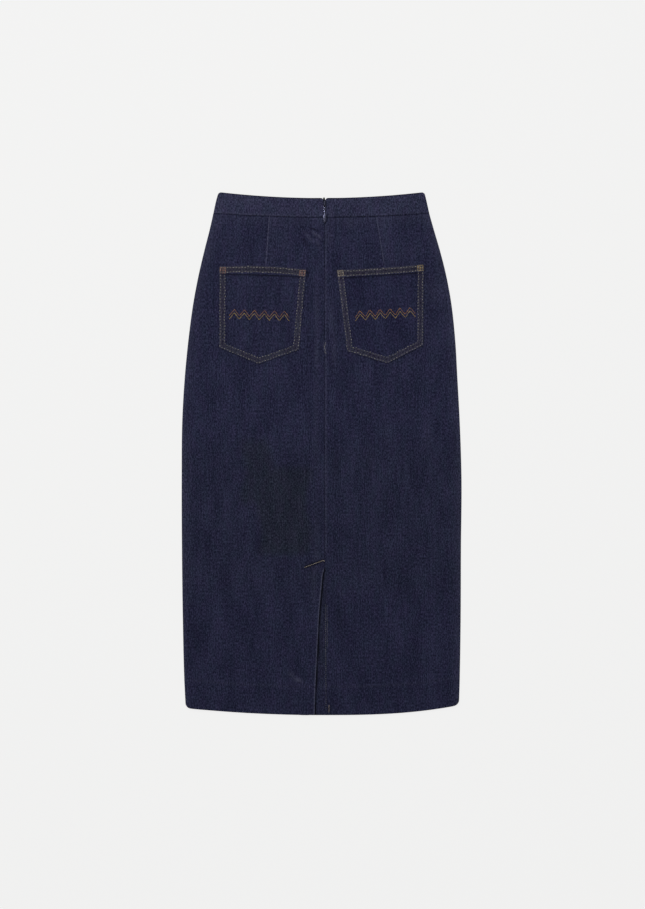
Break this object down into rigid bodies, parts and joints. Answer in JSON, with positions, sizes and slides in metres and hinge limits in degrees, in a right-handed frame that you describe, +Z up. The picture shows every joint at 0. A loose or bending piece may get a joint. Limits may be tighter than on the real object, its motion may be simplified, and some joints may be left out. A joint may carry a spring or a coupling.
{
  "type": "denim skirt",
  "caption": "Midi pencil skirt laid flat with its back up: shaped waistband, centre back zip with a hinged pull, two darts, two patch pockets and a lapped vent.",
  "frame": {"origin": "centre of the bounding box on the surface that the skirt lies on", "axes": "+Z up from the surface, +Y along the skirt towards its waist, +X towards the wearer's right side, which is the right as the back is seen"},
  "size_m": [0.4663, 0.8705, 0.0089],
  "materials": {
    "denim": "unwashed dark indigo twill, matt, with a faint diagonal wale",
    "zip_tape": "woven navy polyester tape and coil",
    "zip_enamel": "navy enamel over a small cast slider and pull, worn bright on its edges"
  },
  "bodies": {
    "skirt": {"front_panel": "denim", "back_left": "denim", "back_right": "denim", "band_front": "denim", "band_back_left": "denim", "band_back_right": "denim", "pocket_left": "denim", "pocket_right": "denim", "zip_tape_left": "zip_tape", "zip_tape_right": "zip_tape", "zip_chain": "zip_tape", "zip_slider": "zip_enamel"},
    "pull": {"zip_pull": "zip_enamel"}
  },
  "joints": [
    {"name": "pull_hinge", "type": "hinge", "parent": "skirt", "child": "pull", "pos_m": [0.005, 0.41425, 0.0076], "axis": [-1, 0, 0], "range_deg": [0, 150]}
  ]
}
